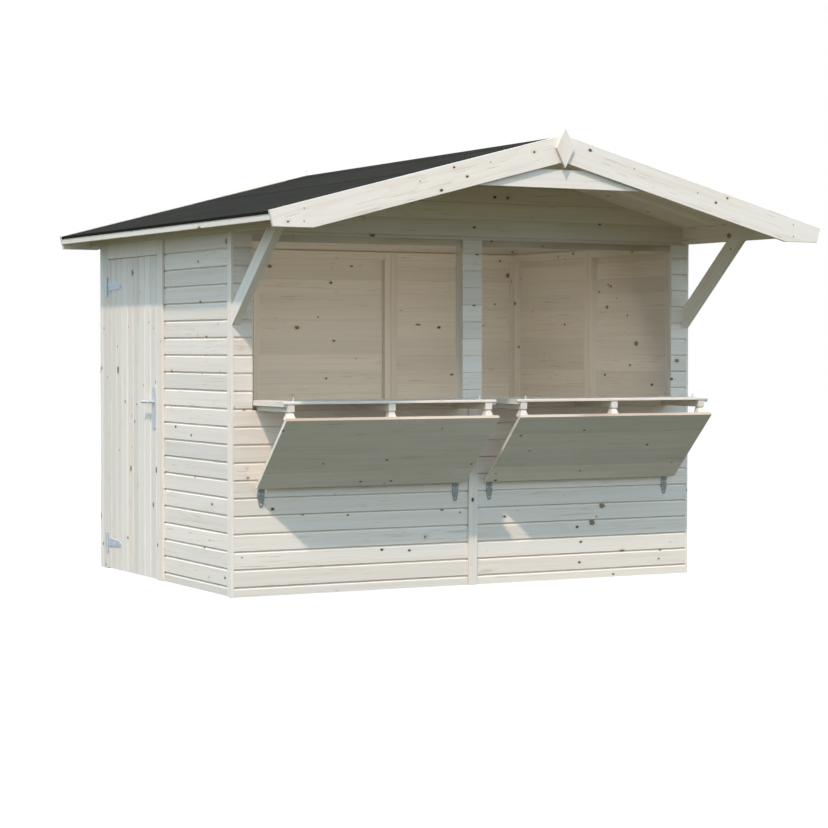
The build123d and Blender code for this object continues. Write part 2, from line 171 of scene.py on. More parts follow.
print("sums become Math nodes, and Mix and Vector Math carry colours and places")

# %% [markdown]
# ## Light and floor
#
# The hut stands in clear sun from the front left, high up, with an open sky round it and dull ground below.
# One lamp and one world do this. The sun is a little wider than the real one, so shadow edges are soft.
# The world is cool from above and dim and greenish from below, which gives the soffits their colour, while
# the camera sees plain white behind the hut. The room gets a broad soft lamp just inside its openings,
# facing in and down, as light from a bright street does. The pale floor only catches a faint shadow.

# %% Light the stage
sun_way = Vector((0.465, 0.586, -1.0))
bpy.ops.object.select_all(action="DESELECT")
bpy.ops.object.light_add(type="SUN", rotation=sun_way.to_track_quat("-Z", "Y").to_euler())
sun = bpy.context.active_object
sun.name = "sun"
sun.data.energy, sun.data.angle, sun.data.color = 2.66, math.radians(1.6), (1.0, 0.83, 0.725)

world = bpy.data.worlds.new("open_sky")
bpy.context.scene.world = world
world.use_nodes = True
world.node_tree.nodes.clear()
pen = Wire(world.node_tree)
height = pen.node("SeparateXYZ", None, {0: pen.node("TexCoord", out="Generated")}, out=2)
ground_light, sky_light, white = (0.125, 0.129, 0.068, 1), (1.03, 1.28, 1.55, 1), (1, 1, 1, 1)
horizon = (-0.12, 0.16)
sky = height.between(*horizon).mix(ground_light, sky_light)
seen = pen.node("LightPath", out="Is Camera Ray").mix(sky, white)
pen.node("OutputWorld", None, {0: pen.node("Background", None, {"Color": seen, "Strength": 1.0})})
print("sun", sun.data.energy, "world", world.name)

# %% Light the room and lay the floor
lamp_place, lamp_tilt = (0, -0.72, 1.60), (math.radians(50), 0, 0)
bpy.ops.object.light_add(type="AREA", location=lamp_place, rotation=lamp_tilt)
fill = bpy.context.active_object
fill.name = "room_fill"
fill.data.shape, fill.data.size, fill.data.size_y = "RECTANGLE", 1.8, 0.5
fill.data.energy, fill.data.color, fill.data.spread = 8.1, (1.0, 0.97, 0.90), math.radians(168)
fill.visible_camera = fill.visible_glossy = False

floor_wide, floor_top = 80, -0.001
bpy.ops.mesh.primitive_plane_add(size=floor_wide, location=(0, 0, floor_top))
floor = bpy.context.active_object
floor.name = "pale_floor"
floor.visible_diffuse = floor.visible_glossy = floor.visible_shadow = False
pale, pen = new_finish("pale_floor")
shine = pen.node("Emission", None, {"Color": white, "Strength": 0.93})
catch = pen.node("BsdfDiffuse", None, {"Color": (0.10, 0.10, 0.10, 1)})
pen.node("OutputMaterial", None, {"Surface": pen.node("AddShader", None, {0: shine, 1: catch})})
floor.data.materials.append(pale)
floor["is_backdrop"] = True
bpy.context.scene.view_settings.view_transform = "Standard"
print("room lamp", fill.data.energy, "floor", floor.name)

# %% [markdown]
# ## Spruce
#
# Planed spruce is pale, with yearly rings that show as fine lines, broader streaks, and small dark knots
# that the lines swing round. A picture of wood would stretch and repeat, so the wood is made in the solid:
# rings, streaks and knots fill space, and each board shows where its faces cut them. Grain has a direction,
# so a Mapping node turns the pattern along the piece, and an attribute called stick moves it on from one
# board to the next and gives each board its own tone. A second attribute browns chosen faces: dirt and
# painted shade in the joints, painted shade on the flaps, and a plain darker band over the openings.

# %% Scatter the knots
small_knots = {"cells": (5.4, 12.0, 12.0), "size": 0.0045, "spare": 0.005}
large_knots = {"cells": (2.3, 5.2, 5.2), "size": 0.010, "spare": 0.008}
oval = (0.7, 1.0, 1.0)


def knots(wood, cells, size, spare):
    """Distance from the nearest knot, in its own radius, for knots scattered one to a cell."""
    crowded = wood.vector("MULTIPLY", cells)
    seeds = wood.node("TexVoronoi", None, {"Vector": crowded, "Scale": 1.0}, out="Position")
    away = wood.vector("SUBTRACT", seeds.vector("DIVIDE", cells)).vector("MULTIPLY", oval)
    lot = wood.node("SeparateColor", None, {0: seeds.also("Color")})
    return away.vector("LENGTH", (0, 0, 0), out=1) / (lot * spare + size)


print("knot radius from", small_knots["size"], "to", large_knots["size"] + large_knots["spare"])

# %% Mix the spruce
ring_pitch = 0.0062
stick_shift, stick_turn = (23.0, 7.1, 11.3), 61.0


def spruce(name, turn):
    """Spruce whose grain runs along X after the pattern is turned by three angles in degrees."""
    material, pen = new_finish(name)
    place = pen.node("TexCoord", out="Object")
    turned = pen.node("Mapping", None, {"Vector": place, "Rotation": [math.radians(a) for a in turn]})
    stick = pen.node("Attribute", {"attribute_name": "stick"}, out="Fac")
    stain = pen.node("Attribute", {"attribute_name": "stain"}, out="Fac")
    shift = pen.node("VectorMath", {"operation": "SCALE"}, {0: stick_shift, "Scale": stick})
    wood = turned.vector("ADD", shift)

    ragged = wood.noise((90.0, 90.0, 90.0), 2.0) * 0.5 - 0.25
    reach = knots(wood, **small_knots) + ragged
    broad = knots(wood, **large_knots) + ragged
    knot, heart = reach.between(1.0, 0.7), broad.between(1.0, 0.8)
    halo = reach.between(2.3, 0.8).maths("MAXIMUM", broad.between(1.9, 0.9))
    rim = (reach.between(0.3, 0.85) * knot).maths("MAXIMUM", broad.between(0.55, 0.95) * heart)

    across = pen.node("SeparateXYZ", None, {0: wood})
    bearing = stick * stick_turn
    depth = across.also(1) * bearing.maths("COSINE") + across.also(2) * bearing.maths("SINE")
    waver = wood.noise((1.0, 6.0, 6.0)) - 0.5
    ring = ((depth + waver * 0.05 + halo * 0.008) / ring_pitch).maths("FRACT")
    late = ring * ring * ring
    streak = wood.noise((0.9, 42.0, 42.0), 3.0).between(0.42, 0.72)
    fibre = wood.noise((14.0, 520.0, 520.0), 1.0)
    cloud = wood.noise((1.6, 5.0, 5.0), 2.0)
    check = wood.noise((5.0, 130.0, 130.0), 1.0).between(0.63, 0.72) * cloud.between(0.44, 0.58)

    draw = pen.node("TexWhiteNoise", {"noise_dimensions": "1D"}, {"W": stick}, out=1)
    tone = pen.node("SeparateColor", None, {0: draw})
    colour = (tone * 0.75).mix((0.86, 0.805, 0.715, 1), (0.85, 0.77, 0.665, 1))
    colour = (tone.also(1) * 0.6).mix(colour, (0.79, 0.765, 0.69, 1))
    colour = (cloud.between(0.35, 0.7) * 0.35).mix(colour, (0.88, 0.815, 0.70, 1))
    colour = (late * 0.22 + streak * 0.26).mix(colour, (0.69, 0.565, 0.42, 1))
    colour = (fibre * 0.10).mix(colour, (0.60, 0.52, 0.42, 1))
    colour = (check * 0.34).mix(colour, (0.36, 0.28, 0.21, 1))
    # The stain attribute browns faces: as dirt, as painted shade, and as a plain darker band.
    colour = (stain * (cloud.between(0.3, 0.6) * 0.5 + 0.5)).mix(colour, (0.40, 0.295, 0.195, 1))
    colour = (halo * 0.30).mix(colour, (0.62, 0.45, 0.29, 1))
    colour = (heart * 0.85).mix(colour, (0.24, 0.135, 0.075, 1))
    colour = (knot * 0.95).mix(colour, (0.10, 0.055, 0.035, 1))
    colour = (rim * 0.8).mix(colour, (0.035, 0.024, 0.018, 1))
    shade = tone.also(2) * 0.13 + 0.90
    colour = pen.node("VectorMath", {"operation": "SCALE"}, {0: colour, "Scale": shade})

    relief = fibre * 0.6 + streak * 0.4
    bump = pen.node("Bump", None, {"Strength": 0.3, "Distance": 0.0006, "Height": relief})
    lay_on(pen, {
        "Base Color": colour,
        "Roughness": streak * 0.10 - late * 0.06 + 0.62,
        "Normal": bump,
        "Specular IOR Level": 0.25,
    })
    return material


print("ring pitch", ring_pitch)

# %% Turn the spruce along each kind of piece
pitch_degrees = 14.66
brace_degrees = 41.3
spruce_x = spruce("spruce_across", (0, 0, 0))
spruce_y = spruce("spruce_front_to_back", (0, 0, -90))
spruce_z = spruce("spruce_upright", (0, 90, 0))
spruce_rake = {
    "left": spruce("spruce_left_rake", (0, pitch_degrees, 0)),
    "right": spruce("spruce_right_rake", (0, -pitch_degrees, 0)),
}
spruce_brace = spruce("spruce_brace", (brace_degrees, 0, 90))
print("spruce finishes", [m.name for m in bpy.data.materials if m.name.startswith("spruce")])

# %% [markdown]
# ## Felt and zinc
#
# Roofing felt is bitumen with fine slate grit pressed in: nearly black, dull, rough to the touch. The
# hinges and the handle are zinc plated, pale and bluish, with faint crystals and some white bloom, and the
# nails are dark iron with a little rust. A flat colour would look like paint, so cells of two sizes make
# the grit and the crystals, and noise from fine to broad makes the mottling, patches and streaks.

# %% Mix the felt
felt, pen = new_finish("slate_felt")
place = pen.node("TexCoord", out="Object")
grit = pen.node("TexVoronoi", None, {"Vector": place, "Scale": 420.0}, out="Color")
grain = pen.node("SeparateColor", None, {0: grit})
mottle = place.noise((55.0, 55.0, 55.0), 4.0).between(0.38, 0.62)
patch = place.noise((2.6, 1.3, 2.6), 5.0).between(0.35, 0.65)
streaks = place.noise((11.0, 0.7, 11.0), 3.0).between(0.45, 0.65)
colour = grain.mix((0.0060, 0.0050, 0.0028, 1), (0.0340, 0.0282, 0.0158, 1))
colour = (mottle * 0.5).mix(colour, (0.0060, 0.0050, 0.0029, 1))
colour = (patch * 0.4).mix(colour, (0.0260, 0.0216, 0.0125, 1))
colour = (streaks * 0.35).mix(colour, (0.0085, 0.0073, 0.0044, 1))
bump = pen.node("Bump", None, {"Strength": 0.6, "Distance": 0.0008, "Height": grain * 0.8 + mottle * 0.2})
rough = grain * 0.1 + 0.85
lay_on(pen, {"Base Color": colour, "Roughness": rough, "Normal": bump, "Specular IOR Level": 0.05})
print("mixed", felt.name)


# %% Mix the zinc and the nail iron
def zinc_plate(name, bright, dark, white):
    """Zinc with crystals from bright to dark and a white bloom."""
    material, pen = new_finish(name)
    place = pen.node("TexCoord", out="Object")
    cells = pen.node("TexVoronoi", None, {"Vector": place, "Scale": 150.0}, out="Color")
    crystal = pen.node("SeparateColor", None, {0: cells})
    bloom = place.noise((22.0, 22.0, 22.0), 4.0).between(0.45, 0.75)
    scuff = place.noise((60.0, 60.0, 400.0), 2.0)
    colour = (crystal * 0.6).mix((*bright, 1), (*dark, 1))
    colour = (bloom * 0.5).mix(colour, (*white, 1))
    bump = pen.node("Bump", None, {"Strength": 0.15, "Distance": 0.0003, "Height": scuff})
    rough = bloom * 0.18 + crystal * 0.1 + 0.36
    lay_on(pen, {"Base Color": colour, "Metallic": 0.35, "Roughness": rough, "Normal": bump})
    return material


zinc = zinc_plate("zinc_plate", (0.64, 0.67, 0.70), (0.55, 0.58, 0.62), (0.72, 0.74, 0.76))
# A darker copy of the zinc, as painted shade for the hinge wall leaves in the flaps' shade.
shaded_zinc = zinc_plate("dull_zinc_plate", (0.32, 0.325, 0.29), (0.23, 0.235, 0.215), (0.43, 0.435, 0.40))

iron, pen = new_finish("nail_iron")
place = pen.node("TexCoord", out="Object")
rust = place.noise((300.0, 300.0, 300.0), 3.0).between(0.4, 0.65)
colour = rust.mix((0.05, 0.048, 0.046, 1), (0.11, 0.07, 0.045, 1))
lay_on(pen, {"Base Color": colour, "Metallic": 0.4, "Roughness": rust * 0.2 + 0.55})
print("mixed", zinc.name, shaded_zinc.name, iron.name)

# %% [markdown]
# ## The workbench
#
# Most pieces here are made with the same few hand moves: put down a block, take off an edge, saw along a
# plane, push the parts together. Each becomes a short function around Blender's own operators, which act on
# whatever is selected, so each one first selects just its own object.

# %% Put down a block
def only(piece):
    """Select one piece and nothing else."""
    bpy.ops.object.select_all(action="DESELECT")
    piece.select_set(True)
    bpy.context.view_layer.objects.active = piece


def block(name, low, high):
    """Block between two corners, with its place in its mesh."""
    low, high = Vector(low), Vector(high)
    bpy.ops.object.select_all(action="DESELECT")
    bpy.ops.mesh.primitive_cube_add(size=1.0)
    piece = bpy.context.active_object
    piece.name = piece.data.name = name
    piece.location, piece.scale = (low + high) / 2, high - low
    bpy.ops.object.transform_apply(location=True, rotation=True, scale=True)
    return piece


print("blocks come from two corners")


# %% Take off edges and saw
def ease(piece, wanted, width, segments=1):
    """Take off the edges for which wanted(middle, direction) holds."""
    only(piece)
    bpy.ops.object.mode_set(mode="EDIT")
    bpy.ops.mesh.select_mode(type="EDGE")
    bpy.ops.mesh.select_all(action="DESELECT")
    shape = bmesh.from_edit_mesh(piece.data)
    for edge in shape.edges:
        start, stop = (vert.co for vert in edge.verts)
        edge.select_set(wanted((start + stop) / 2, (stop - start).normalized()))
    bmesh.update_edit_mesh(piece.data)
    bpy.ops.mesh.bevel(offset=width, segments=segments, affect="EDGES")
    bpy.ops.object.mode_set(mode="OBJECT")


def saw(piece, point, away):
    """Saw off what lies on the far side of a plane, and close the cut."""
    only(piece)
    bpy.ops.object.mode_set(mode="EDIT")
    bpy.ops.mesh.select_all(action="SELECT")
    bpy.ops.mesh.bisect(plane_co=point, plane_no=away, use_fill=True, clear_outer=True)
    bpy.ops.object.mode_set(mode="OBJECT")


aligned, touch, nearby = 0.9, 1e-5, 1e-4
print("edges count as parallel from", aligned, "and as touching within", touch)


# %% Copy, join and settle
def twin(piece):
    """A copy with its own mesh."""
    other = piece.copy()
    other.data = piece.data.copy()
    bpy.context.scene.collection.objects.link(other)
    return other


def gather(name, pieces):
    """Push parts together into one piece."""
    bpy.ops.object.select_all(action="DESELECT")
    for piece in pieces:
        piece.select_set(True)
    bpy.context.view_layer.objects.active = pieces[0]
    if len(pieces) > 1:
        bpy.ops.object.join()
    pieces[0].name = pieces[0].data.name = name
    return pieces[0]


def scrap(piece):
    bpy.data.objects.remove(piece)


def settle(piece, finish, slot, body, *nodes):
    """Give a finished piece its look and its body, and hide the solids that it stands for."""
    piece.data.materials.clear()
    piece.data.materials.append(finish)
    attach(piece, body)
    if nodes:
        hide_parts(*nodes)
    print(piece.name, len(piece.data.polygons), "faces on", body)


print("a settled piece prints its faces and its body")


# %% Number faces and brown them, as dirt and as painted shade
def face_values(piece, name):
    """The piece's own list of face values of that name, made if it has none."""
    return piece.data.attributes.get(name) or piece.data.attributes.new(name, "FLOAT", "FACE")


def mark(piece, stick):
    """Write one stick number on all faces."""
    face_values(piece, "stick").data.foreach_set("value", [stick] * len(piece.data.polygons))


def tint(piece, amount, wanted):
    """Brown the faces for which wanted(middle, normal) holds, as dirt, as painted shade and as a plain darker
    band.
    """
    stain_and_shade_values = face_values(piece, "stain")
    for face in piece.data.polygons:
        if wanted(face.center, face.normal):
            stain_and_shade_values.data[face.index].value = amount


print("faces carry a stick number and a stain")

# %% [markdown]
# ## Boards side by side
#
# The walls are tongued boards with their outer edges planed off, so each joint is a V: in the sun a dark
# line with a bright one under it. A bump would give neither the bright edge nor the notched corner, so each
# board is real. One is modelled with its edges taken off, copied from row to row, and sawn where it
# meets an end or a slope. In a level joint the edge that looks down is browned, as dirt and painted shade.

# %% Board maker
board_pitch = 0.097
first_joint = 0.0484
wall_joint = (0.0080, 0.0092)
back_ease = 0.0008
joint_dirt_and_shade = 0.24
narrowest, saw_slack = 0.0005, 1e-6


def boards(
    name, low, high, out, step,
    pitch=board_pitch, first=first_joint, grooves=wall_joint, lie=None, cuts=(), lot="",
):
    """Boards between two corners: out is the way the good face looks, step the axis from board to board."""
    low, high, out = Vector(low), Vector(high), Vector(out)
    along = [axis for axis in range(3) if axis != step and abs(out[axis]) < 0.5][0]
    onward = Vector([float(axis == step) for axis in range(3)])
    start, stop = low.copy(), high.copy()
    start[step], stop[step] = 0.0, pitch
    plank = block("plank", start, stop)
    face = max(vert.co.dot(out) for vert in plank.data.vertices)
    back = min(vert.co.dot(out) for vert in plank.data.vertices)
    for end, groove in zip((0.0, pitch), grooves):
        if not groove:
            continue
        ease(plank, lambda middle, way: abs(middle[step] - end) < touch and middle.dot(out) > face - touch
             and abs(way[along]) > aligned, groove)
    ease(plank, lambda middle, way: abs(way[along]) > aligned and middle.dot(out) < back + touch, back_ease)
    if step == 2:
        # Painted shade and dirt: the chamfer that looks down in each level joint is browned.
        tint(plank, joint_dirt_and_shade, lambda middle, normal: normal.z < -0.5 and normal.dot(out) > 0.5)
    place = first - pitch * math.ceil((first - low[step]) / pitch)
    rows = []
    while place < high[step] - narrowest:
        row = twin(plank)
        row.data.transform(Matrix.Translation(onward * place))
        if place < low[step] - saw_slack:
            saw(row, low, -onward)
        if place + pitch > high[step] + saw_slack:
            saw(row, high, onward)
        if lie:
            row.data.transform(lie)
        for point, away in cuts:
            saw(row, point, away)
        if row.data.polygons:
            mark(row, random.Random(f"{lot or name} {round(place, 3)}").random())
            rows.append(row)
        else:
            scrap(row)
        place += pitch
    scrap(plank)
    return gather(name, rows)


print("board cover", board_pitch, "first joint at", first_joint)


# %% Several stretches of one wall
def walls(name, out, spans, lot="", grooves=wall_joint):
    """Cladding of one or more stretches of wall, each between two corners."""
    parts = []
    for number, (low, high) in enumerate(spans):
        row_lot = f"{lot}{number}" if lot else ""
        parts.append(boards(f"{name}_{number}", low, high, out, 2, grooves=grooves, lot=row_lot))
    return gather(name, parts)


print("wall joints", wall_joint)

# %% [markdown]
# ## Wall cladding
#
# Each wall takes its corners from the solids: the front panels under the sill, the columns and the post
# between the openings, the sides round the door, and the plain back. The rows line up round the hut, as
# they do on a hut built from equal panels. The boards under the sill lie a hair behind their solid's face,
# so the flaps' hinge knuckles turn without rubbing.

# %% Clad the walls
front, front_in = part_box("front_panels")[0].y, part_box("front_panels")[1].y
left, left_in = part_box("left_panels")[0].x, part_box("left_panels")[1].x
right, back = -left, -front
sill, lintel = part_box("front_panels")[1].z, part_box("front_centre_post")[1].z
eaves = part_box("left_panels")[1].z
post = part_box("front_centre_post")[1].x
column = max(vert.co.x for vert in frame["nodes"]["front_columns"].data.vertices if vert.co.x < 0)
half_seam, hair = 0.0005, 0.0003
skin = front + hair

spans = [((left, skin, 0), (-half_seam, front_in, sill)), ((half_seam, skin, 0), (right, front_in, sill))]
settle(walls("front_boards", (0, -1, 0), spans, "front"), spruce_x, "spruce", "hut", "front_panels")
spans = [
    ((left, front, sill), (column, front_in, lintel)),
    ((-column, front, sill), (right, front_in, lintel)),
]
settle(walls("column_boards", (0, -1, 0), spans, "front"), spruce_x, "spruce", "hut", "front_columns")
post_joint = (0.004, 0.005)
spans = [((-post, front, sill), (post, front_in, lintel))]
rows = walls("post_boards", (0, -1, 0), spans, grooves=post_joint)
settle(rows, spruce_x, "spruce", "hut", "front_centre_post")

# %% Clad the sides and the back
jamb_gap, head_gap = 0.010, 0.005
leaf_low, leaf_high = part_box("door_leaf")
jamb, hinge_jamb = leaf_low.y - jamb_gap, leaf_high.y + jamb_gap
over_door = leaf_high.z + head_gap
spans = [
    ((left, front_in, 0), (left_in, jamb - 2 * half_seam, eaves)),
    ((left, jamb, over_door), (left_in, hinge_jamb, eaves)),
    ((left, hinge_jamb + 2 * half_seam, 0), (left_in, -front_in, eaves)),
]
settle(walls("left_boards", (-1, 0, 0), spans), spruce_y, "spruce", "hut", "left_panels")
spans = [
    ((-left_in, front_in, 0), (right, -half_seam, eaves)),
    ((-left_in, half_seam, 0), (right, -front_in, eaves)),
]
settle(walls("right_boards", (1, 0, 0), spans), spruce_y, "spruce", "hut", "right_panels")
third = (right - left) / 3
starts = [left + third * number for number in range(3)]
spans = [((x + half_seam, -front_in, 0), (x + third - half_seam, back, eaves)) for x in starts]
settle(walls("back_boards", (0, 1, 0), spans), spruce_x, "spruce", "hut", "back_panels")

# %% [markdown]
# ## Gables
#
# The gable boards go on above the openings and are sawn to the roof. Cutting each board by hand would mean
# a new shape for every row, so all are sawn by one pair of planes along the underside of the roof boards:
# they start at the lower corner of the ridge, read from the left slope, and fall at the roof's pitch. The
# lowest board of the front gable is darkened brown.

# %% Saw the gables to the roof
roof_pitch = math.radians(pitch_degrees)
slope_points = [vert.co for vert in frame["nodes"]["roof_deck_left"].data.vertices]
deck_half = -min(point.x for point in slope_points)
deck_ridge = min(point.z for point in slope_points if point.x > -nearby)
under_ridge = Vector((0, 0, deck_ridge))
rise, run = math.sin(roof_pitch), math.cos(roof_pitch)
roof_cuts = [(under_ridge, Vector((sign * rise, 0, run))) for sign in (-1, 1)]
gable_joint = (0.003, 0.004)
gable_foot_brown, gable_foot_band = 0.28, 0.08
for name, node, low, near, far, out in (
    ("front_gable_boards", "front_gable", lintel, front, front_in, (0, -1, 0)),
    ("back_gable_boards", "back_gable", eaves, -front_in, back, (0, 1, 0)),
):
    span = ((left, near, low), (right, far, deck_ridge))
    gable = boards(name, *span, out, 2, grooves=gable_joint, cuts=roof_cuts)
    if node == "front_gable":
        tint(gable, gable_foot_brown, lambda middle, normal: middle.z < low + gable_foot_band)
    settle(gable, spruce_x, "spruce", "hut", node)
print("underside of the ridge at", round(deck_ridge, 4))

# %% [markdown]
# ## Roof boards
#
# Boards run down each slope from the ridge to the eave, over the eaves plates, and their undersides show
# under the awning and inside. They are laid flat first, turned to the pitch, and then sawn upright at the
# ridge and the eave, as a carpenter would trim them in place.

# %% Lay the roof boards
roof_front, roof_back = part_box("roof_deck_left")[0].y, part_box("roof_deck_left")[1].y
deck_thick = 0.018
deck_joint = (0.0025, 0.0025)
trim_spare = 0.02
slope_long = deck_half / math.cos(roof_pitch) + trim_spare
for side, sign in (("left", -1), ("right", 1)):
    turn = Matrix.Translation(under_ridge) @ Matrix.Rotation(sign * roof_pitch, 4, "Y")
    ends = sorted((-trim_spare * sign, slope_long * sign))
    eave_cut = (Vector((sign * deck_half, 0, 0)), Vector((sign, 0, 0)))
    ridge_cut = (Vector((0, 0, 0)), Vector((-sign, 0, 0)))
    deck = boards(
        f"roof_boards_{side}", (ends[0], roof_front, 0), (ends[1], roof_back, deck_thick), (0, 0, -1), 1,
        first=roof_front, grooves=deck_joint, lie=turn, cuts=(eave_cut, ridge_cut),
    )
    settle(deck, spruce_rake[side], "spruce", "hut", f"roof_deck_{side}")

# %% [markdown]
# ## Felt courses
#
# Felt comes in rolls about a metre wide. The lowest roll is laid along the eave and turned down over its
# edge, the next laps over it, and a strip caps the ridge. The solid is one sheet, so each course here is its
# own thin sheet, with its lower edge lifted by the sheet under it and lying a little unevenly.

# %% Lay the felt
felt_thick = 0.004
felt_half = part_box("roof_felt_right")[1].x
felt_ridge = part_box("roof_felt_left")[1].z
felt_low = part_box("roof_felt_left")[0].z
felt_long = felt_half / math.cos(roof_pitch)
roll_wide, lap, lap_lift, cap_reach = 1.0, 0.08, 0.0012, 0.16
over_ridge, hem, lip_round = -0.01, 0.001, 0.0015
wander, waves, felt_cuts = 0.004, 5.3, 15


def course(name, side, start, stop, thick, lift):
    """Strip of felt between two distances down a slope, its lower edge lifted on the strip below."""
    sign = -1 if side == "left" else 1
    ends = sorted((start * sign, stop * sign))
    strip = block(name, (ends[0], roof_front, -felt_thick), (ends[1], roof_back, thick - felt_thick))
    only(strip)
    bpy.ops.object.mode_set(mode="EDIT")
    bpy.ops.mesh.select_all(action="SELECT")
    bpy.ops.mesh.subdivide(number_cuts=felt_cuts)
    bpy.ops.object.mode_set(mode="OBJECT")
    for vert in strip.data.vertices:
        share = (abs(vert.co.x) - start) / (stop - start)
        vert.co.z += lift * share ** 3
        if 0 < share and lift:
            vert.co.x += sign * share ** 6 * wander * math.sin(vert.co.y * waves + start)
    turn = Matrix.Translation((0, 0, felt_ridge)) @ Matrix.Rotation(sign * roof_pitch, 4, "Y")
    strip.data.transform(turn)
    saw(strip, Vector((0, 0, 0)), Vector((-sign, 0, 0)))
    return strip


for side, sign in (("left", -1), ("right", 1)):
    roll_top = felt_long - roll_wide
    low_course = course(f"eave_course_{side}", side, roll_top, felt_long - hem, felt_thick, 0.0)
    top_course = course(f"top_course_{side}", side, over_ridge, roll_top + lap, felt_thick, lap_lift)
    cap = course(f"ridge_cap_{side}", side, over_ridge, cap_reach, felt_thick + lap_lift, 0.0)
    lip_x = sorted((sign * felt_half, sign * (felt_half - felt_thick)))
    lip_top = felt_ridge - felt_half * math.tan(roof_pitch)
    lip = block("felt_lip", (lip_x[0], roof_front, felt_low), (lip_x[1], roof_back, lip_top))
    ease(lip, lambda middle, way: abs(way.y) > aligned and abs(middle.x) > felt_half - nearby, lip_round, 2)
    roof = gather(f"felt_{side}", [low_course, top_course, cap, lip])
    settle(roof, felt, "roofing_felt", "hut", f"roof_felt_{side}")

# %% [markdown]
# ## Planed timbers
#
# Studs, rails, trims, plates, barge boards and the rest are square pieces with machine eased edges. Their
# solids already have the right shape, so a copy of each is merged, its triangles are dissolved into whole
# faces, and its sharp edges are beveled by a millimetre or two. Light then catches the edges as it does on
# real timber. Loose parts are numbered so that the sticks differ in grain and tone. The braces take a
# number that gives the palest tone, and the top of the rail over the openings is darkened brown.

# %% Ease and number a timber
flat, sharp = math.radians(1), math.radians(30)


def planed(node, width):
    """A copy of a solid with whole faces and eased edges."""
    piece = bpy.data.objects.new(f"{node}_planed", frame["nodes"][node].data.copy())
    bpy.context.scene.collection.objects.link(piece)
    only(piece)
    bpy.ops.mesh.customdata_custom_splitnormals_clear()
    bpy.ops.object.mode_set(mode="EDIT")
    bpy.ops.mesh.select_mode(type="EDGE")
    bpy.ops.mesh.select_all(action="SELECT")
    bpy.ops.mesh.remove_doubles(threshold=touch)
    bpy.ops.mesh.dissolve_limited(angle_limit=flat)
    bpy.ops.mesh.select_all(action="DESELECT")
    bpy.ops.mesh.edges_select_sharp(sharpness=sharp)
    bpy.ops.mesh.bevel(offset=width, segments=2, affect="EDGES")
    bpy.ops.object.mode_set(mode="OBJECT")
    return piece


def number_sticks(piece):
    """Give each loose part its own stick number."""
    shape = bmesh.new()
    shape.from_mesh(piece.data)
    layer = shape.faces.layers.float.new("stick")
    done = set()
    for number, seed in enumerate(shape.faces):
        if seed in done:
            continue
        stick = random.Random(f"{piece.name} {number}").random()
        queue = [seed]
        done.add(seed)
        while queue:
            face = queue.pop()
            face[layer] = stick
            for edge in face.edges:
                for other in edge.link_faces:
                    if other not in done:
                        done.add(other)
                        queue.append(other)
    shape.to_mesh(piece.data)
    shape.free()


print("edges are eased from", round(math.degrees(sharp)), "degrees")

# %% Plane every timber
timbers = {
    spruce_x: ("back_rails", "front_rails", "tie_board", "floor_bearers"),
    spruce_y: (
        "side_rails", "eaves_plates", "ridge_purlin", "eave_fascias", "counter_arms", "counter_cleats",
    ),
    spruce_z: (
        "back_studs", "front_studs", "side_studs", "corner_trims", "joint_trims", "door_trims", "finials",
        "counter_feet",
    ),
    spruce_rake["left"]: ("barge_boards_left",),
    spruce_rake["right"]: ("barge_boards_right",),
    spruce_brace: ("awning_braces",),
}
palest, arris = 0.77, 0.0015
rail_top_brown, rail_band = 0.8, 0.06
for finish, nodes in timbers.items():
    for node in nodes:
        piece = planed(node, arris)
        number_sticks(piece)
        if node == "awning_braces":
            mark(piece, palest)
        if node == "front_rails":
            tint(piece, rail_top_brown, lambda middle, normal: normal.y < -0.5 and middle.z > lintel - rail_band)
        settle(piece, finish, "spruce", "hut", node)

# %% [markdown]
# ## Floor and counters
#
# The floor is boards across the hut. A counter is a thin glued panel of a few wide boards, with joints so
# fine that only the change of grain shows. Both use the board maker with shallow grooves.

# %% Lay the floor and the counters
floor_pitch, floor_joint = 0.12, (0.0012, 0.0012)
low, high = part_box("floor_deck")
deck = boards("floor_boards", low, high, (0, 0, 1), 1, pitch=floor_pitch, first=low.y, grooves=floor_joint)
settle(deck, spruce_x, "spruce", "hut", "floor_deck")

panel_boards, glue_joint = 4, (0, 0.0008)
nosing, post_gap = 0.006, 0.005
low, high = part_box("counter_boards")
inner = post + post_gap
halves = []
for number, (start, stop) in enumerate(((low.x, -inner), (inner, high.x))):
    half = boards(
        f"counter_{number}", (start, low.y, low.z), (stop, high.y, high.z), (0, 0, 1), 1,
        pitch=(high.y - low.y) / panel_boards, first=low.y, grooves=glue_joint,
    )
    ease(half, lambda middle, way: abs(way.x) > aligned and middle.y < low.y + nearby
         and middle.z > high.z - nearby, nosing, 4)
    halves.append(half)
settle(gather("counter_planks", halves), spruce_x, "spruce", "hut", "counter_boards")

# %% [markdown]
# ## Strips under the counters
#
# A counter lies one arm's height above the sill. Strips between the arms close that slot, flush with the
# wall below, so no light from the room shows under the counter.

# %% Close the slot on the sill
strip_gap, thin_arris = 0.0005, 0.001
arm_sides = sorted({round(vert.co.x, 5) for vert in frame["nodes"]["counter_arms"].data.vertices})
strips = []
for start, stop in zip(arm_sides[1::2], arm_sides[2::2]):
    if start * stop > 0:
        far_corner = (stop - strip_gap, front_in, low.z - strip_gap)
        strip = block("sill_strip", (start + strip_gap, front, sill), far_corner)
        ease(strip, lambda middle, way: abs(way.x) > aligned, thin_arris)
        mark(strip, palest)
        strips.append(strip)
print("strips", len(strips))
settle(gather("sill_strips", strips), spruce_x, "spruce", "hut")
